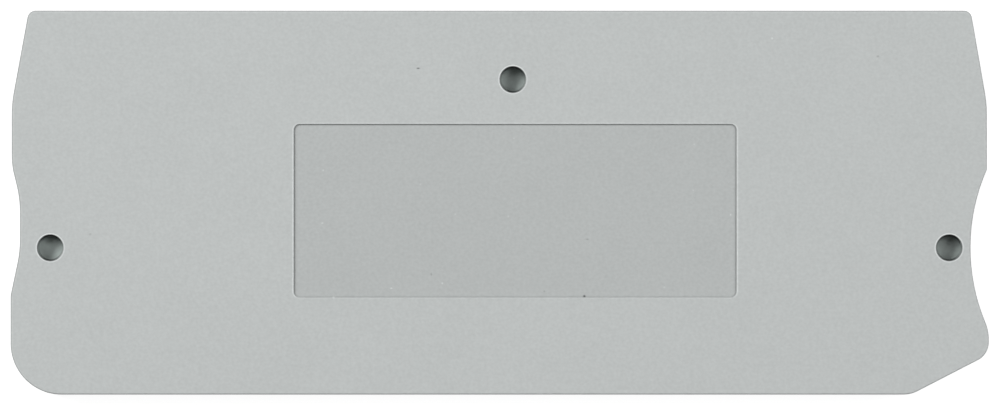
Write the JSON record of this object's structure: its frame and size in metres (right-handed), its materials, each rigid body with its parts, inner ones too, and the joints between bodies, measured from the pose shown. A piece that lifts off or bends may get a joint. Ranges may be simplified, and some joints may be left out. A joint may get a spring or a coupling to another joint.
{
  "type": "terminal block end cover",
  "caption": "Flat moulded end cover that closes the open side of a row of rail terminal blocks, with locating pegs behind blind holes and a shallow label recess.",
  "frame": {"origin": "on the flat inner face, halfway along and halfway up the plate", "axes": "+X along the cover to the right as seen from outside, +Y to the straight upper edge, +Z out of the outer face"},
  "size_m": [0.1, 0.0392, 0.0038],
  "materials": {
    "grey_polyamide": "matte"
  },
  "bodies": {
    "root": {"end_cover": "grey_polyamide"}
  },
  "joints": []
}
